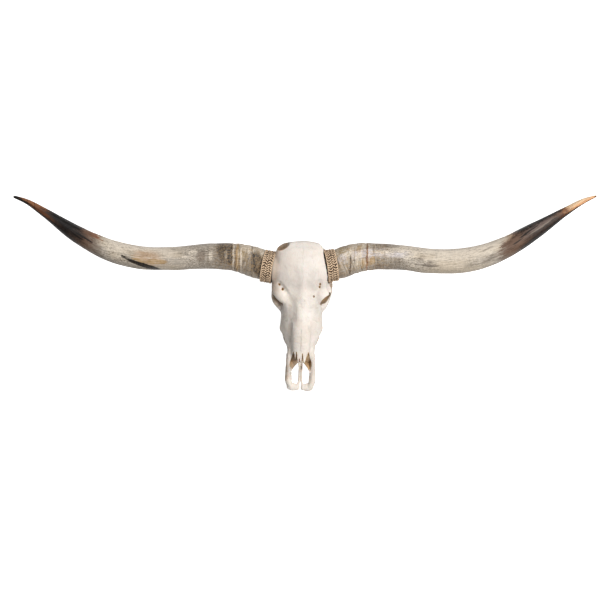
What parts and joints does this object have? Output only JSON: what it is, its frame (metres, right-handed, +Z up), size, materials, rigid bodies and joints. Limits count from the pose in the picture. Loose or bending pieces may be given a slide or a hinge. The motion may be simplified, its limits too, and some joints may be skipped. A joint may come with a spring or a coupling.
{
  "type": "longhorn steer skull",
  "caption": "Bleached longhorn steer skull without its lower jaw, with wide curving horns and hemp rope wound round the horn bases, lying face up.",
  "frame": {"origin": "on the surface that the skull rests on, under the middle of its whole box, horns included, a little behind the eye sockets", "axes": "+Z up, out of the forehead. +Y towards the poll, with the nose along -Y. +X towards the animal's left horn"},
  "size_m": [1.9645, 0.6885, 0.2454],
  "materials": {
    "bone": "dry bleached bone, matt",
    "horn": "weathered horn, rubbed smooth, satin, dark towards the tips",
    "rope": "twisted hemp, rough"
  },
  "bodies": {
    "root": {"cranium": "bone", "maxilla_left": "bone", "maxilla_right": "bone", "nasal_left": "bone", "nasal_right": "bone", "premaxilla_left": "bone", "premaxilla_right": "bone", "horn_left": "horn", "horn_right": "horn", "rope_left": "rope", "rope_right": "rope"}
  },
  "joints": []
}
